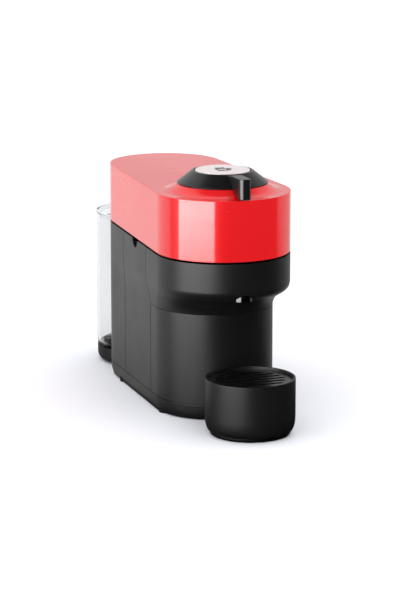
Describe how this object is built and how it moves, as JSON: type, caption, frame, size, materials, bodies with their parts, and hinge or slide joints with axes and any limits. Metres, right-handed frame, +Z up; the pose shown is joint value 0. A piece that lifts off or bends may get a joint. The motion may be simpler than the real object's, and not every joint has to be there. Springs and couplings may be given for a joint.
{
  "type": "pod coffee machine",
  "caption": "Slim countertop pod coffee machine with a tilting head, lock lever, brew button, spinning capsule drum, pull-out capsule bin, drip tray and lift-off water tank.",
  "frame": {"origin": "on the floor under the middle of the machine, half way between the front of the drip tray and the back of the water tank", "axes": "+X to the right of a viewer facing the front, +Y towards the water tank at the back, +Z up"},
  "size_m": [0.136, 0.426, 0.25],
  "materials": {
    "red_metallic": "brushed metallic paint",
    "dark_casing": "fine satin",
    "black_matte": "satin black",
    "dark_grid": "satin",
    "gloss_black": "polished",
    "button_white": "smooth",
    "icon_grey": "printed",
    "chrome_trim": "polished",
    "rubber_black": "matte",
    "clear_plastic": "clear",
    "lid_plastic": "clear",
    "steel": "brushed",
    "motor_iron": "stamped laminations",
    "pump_metal": "satin",
    "heater_alu": "cast",
    "inner_plastic": "moulded",
    "board_green": "lacquered",
    "silicone": "translucent"
  },
  "bodies": {
    "base": {"base_plate": "dark_casing", "bottom_cover": "black_matte", "brew_hose": "silicone", "capsule_chute": "inner_plastic", "casing_screws": "steel", "circuit_board": "board_green", "coffee_collector": "inner_plastic", "coffee_outlet": "black_matte", "dock_seal": "rubber_black", "dock_spigot": "inner_plastic", "drum_bearings": "steel", "flow_meter": "inner_plastic", "front_collar": "dark_casing", "heater_block": "heater_alu", "heater_bracket": "black_matte", "heater_hose": "silicone", "hinge_bracket": "black_matte", "hinge_pin": "steel", "inlet_hose": "silicone", "inner_frame": "inner_plastic", "latch_hooks": "black_matte", "mid_casing_left": "dark_casing", "mid_casing_right": "dark_casing", "motor_mount": "inner_plastic", "motor_stator": "motor_iron", "outlet_trim": "chrome_trim", "power_gland": "rubber_black", "pump_body": "pump_metal", "pump_hose": "silicone", "pump_mounts": "rubber_black", "rear_casing": "dark_casing", "rubber_feet": "rubber_black", "tank_dock": "black_matte", "top_deck": "black_matte"},
    "head": {"head_shell": "red_metallic", "head_chassis": "black_matte", "clamp_bearing": "steel", "injector_pipe": "silicone", "button_board": "board_green", "button_spring": "steel"},
    "lever": {"knob_cone": "gloss_black", "lever_handle": "gloss_black", "lock_ring": "inner_plastic"},
    "button": {"button_cap": "button_white", "button_icon": "icon_grey"},
    "drum": {"capsule_drum": "inner_plastic", "drum_shaft": "steel", "motor_rotor": "motor_iron"},
    "clamp": {"clamp_bell": "inner_plastic", "piercing_needle": "steel"},
    "container": {"capsule_container": "dark_casing"},
    "tray": {"drip_tray": "dark_casing", "tray_foot": "black_matte"},
    "grid": {"drip_grid": "dark_grid"},
    "tank": {"water_tank": "clear_plastic", "tank_valve": "black_matte", "valve_spring": "steel"},
    "poppet": {"valve_poppet": "black_matte"},
    "lid": {"tank_lid": "lid_plastic"}
  },
  "joints": [
    {"name": "head_tilt", "type": "hinge", "parent": "base", "child": "head", "pos_m": [0, 0.139, 0.177], "axis": [-1, 0, 0], "range_deg": [0, 45]},
    {"name": "lever_turn", "type": "hinge", "parent": "head", "child": "lever", "pos_m": [0, -0.0873, 0.249], "axis": [0, 0, 1], "range_deg": [-45, 0]},
    {"name": "button_press", "type": "slide", "parent": "head", "child": "button", "axis": [0, 0, -1], "range_m": [0, 0.0015], "stiffness_N_per_m": 600, "springref_m": -0.0008, "deforming": ["button_spring"]},
    {"name": "drum_spin", "type": "hinge", "parent": "base", "child": "drum", "pos_m": [0, -0.0873, 0.128], "axis": [0, 0, 1], "continuous": true},
    {"name": "clamp_spin", "type": "hinge", "parent": "head", "child": "clamp", "pos_m": [0, -0.0873, 0.198], "axis": [0, 0, 1], "continuous": true},
    {"name": "container_slide", "type": "slide", "parent": "base", "child": "container", "axis": [0, -1, 0], "range_m": [0, 0.14]},
    {"name": "tray_slide", "type": "slide", "parent": "container", "child": "tray", "axis": [0, -1, 0], "range_m": [0, 0.06]},
    {"name": "grid_lift", "type": "slide", "parent": "tray", "child": "grid", "axis": [0, 0, 1], "range_m": [0, 0.03]},
    {"name": "tank_lift", "type": "slide", "parent": "base", "child": "tank", "axis": [0, 0, -1], "range_m": [-0.16, 0]},
    {"name": "lid_lift", "type": "slide", "parent": "tank", "child": "lid", "axis": [0, 0, -1], "range_m": [-0.03, 0]},
    {"name": "valve_lift", "type": "slide", "parent": "tank", "child": "poppet", "axis": [0, 0, 1], "range_m": [0, 0.0015], "stiffness_N_per_m": 300, "springref_m": -0.001, "deforming": ["valve_spring"]}
  ],
  "couplings": [
    {"joint": "clamp_spin", "follows": "drum_spin", "ratio": 1}
  ]
}
